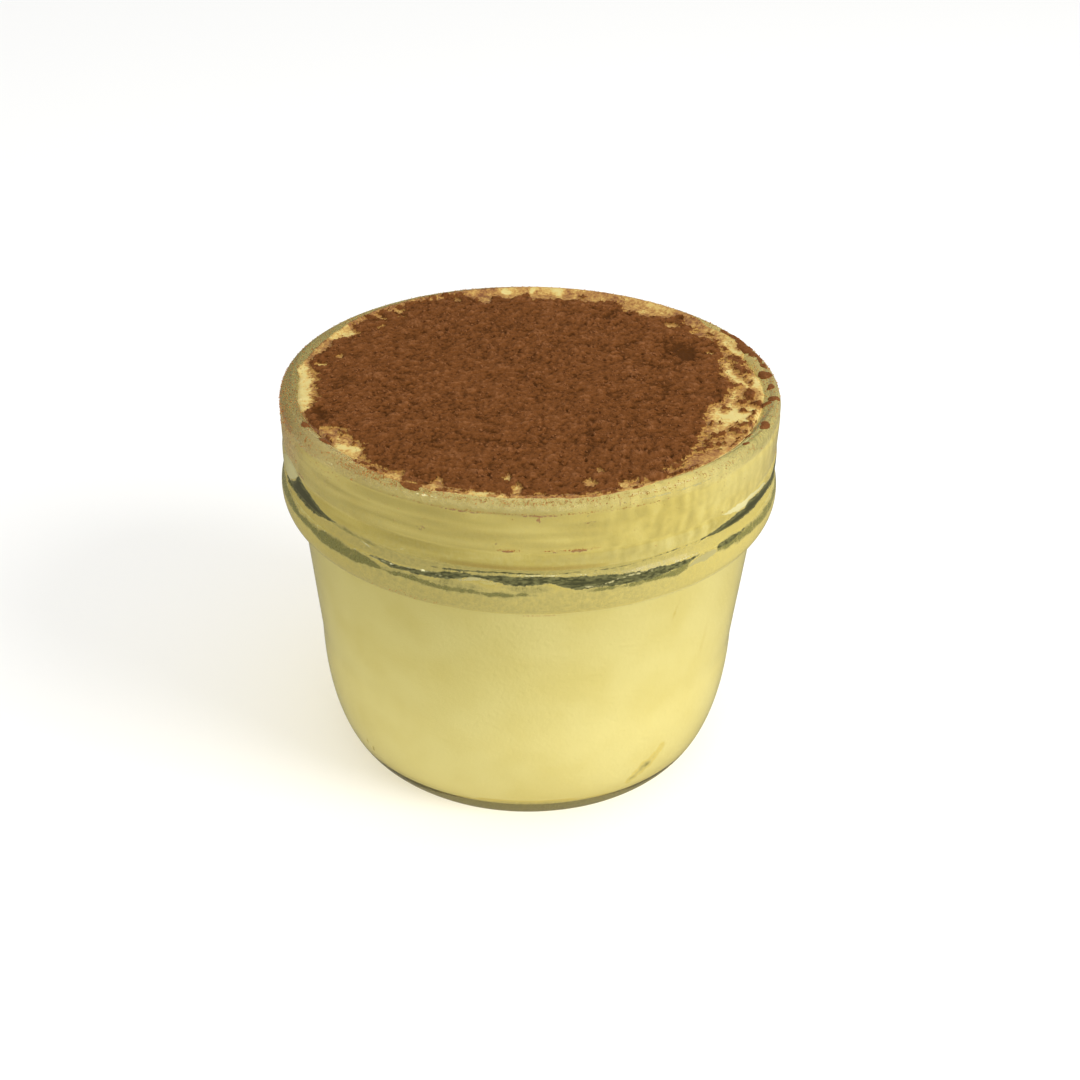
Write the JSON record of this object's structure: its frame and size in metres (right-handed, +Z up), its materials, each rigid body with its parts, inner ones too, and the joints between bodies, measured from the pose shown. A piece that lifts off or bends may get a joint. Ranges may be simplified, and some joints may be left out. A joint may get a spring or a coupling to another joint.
{
  "type": "tiramisu in a glass preserving jar",
  "caption": "Tiramisu in a round clear glass preserving jar without its lid, filled to the brim with mascarpone cream and dusted with cocoa.",
  "frame": {"origin": "centre of the ring on the jar's base that it stands on", "axes": "+Z up along the jar's axis, -Y towards the side that the picture shows, +X to the right of that view"},
  "size_m": [0.096, 0.096, 0.0777],
  "materials": {
    "glass": "clear pressed glass with a light olive tint, smooth and glossy",
    "cream": "pale yellow mascarpone cream, soft satin",
    "cocoa": "dry cocoa powder, dull and finely clumped"
  },
  "bodies": {
    "root": {"jar": "glass", "cream": "cream", "cocoa": "cocoa"}
  },
  "joints": []
}
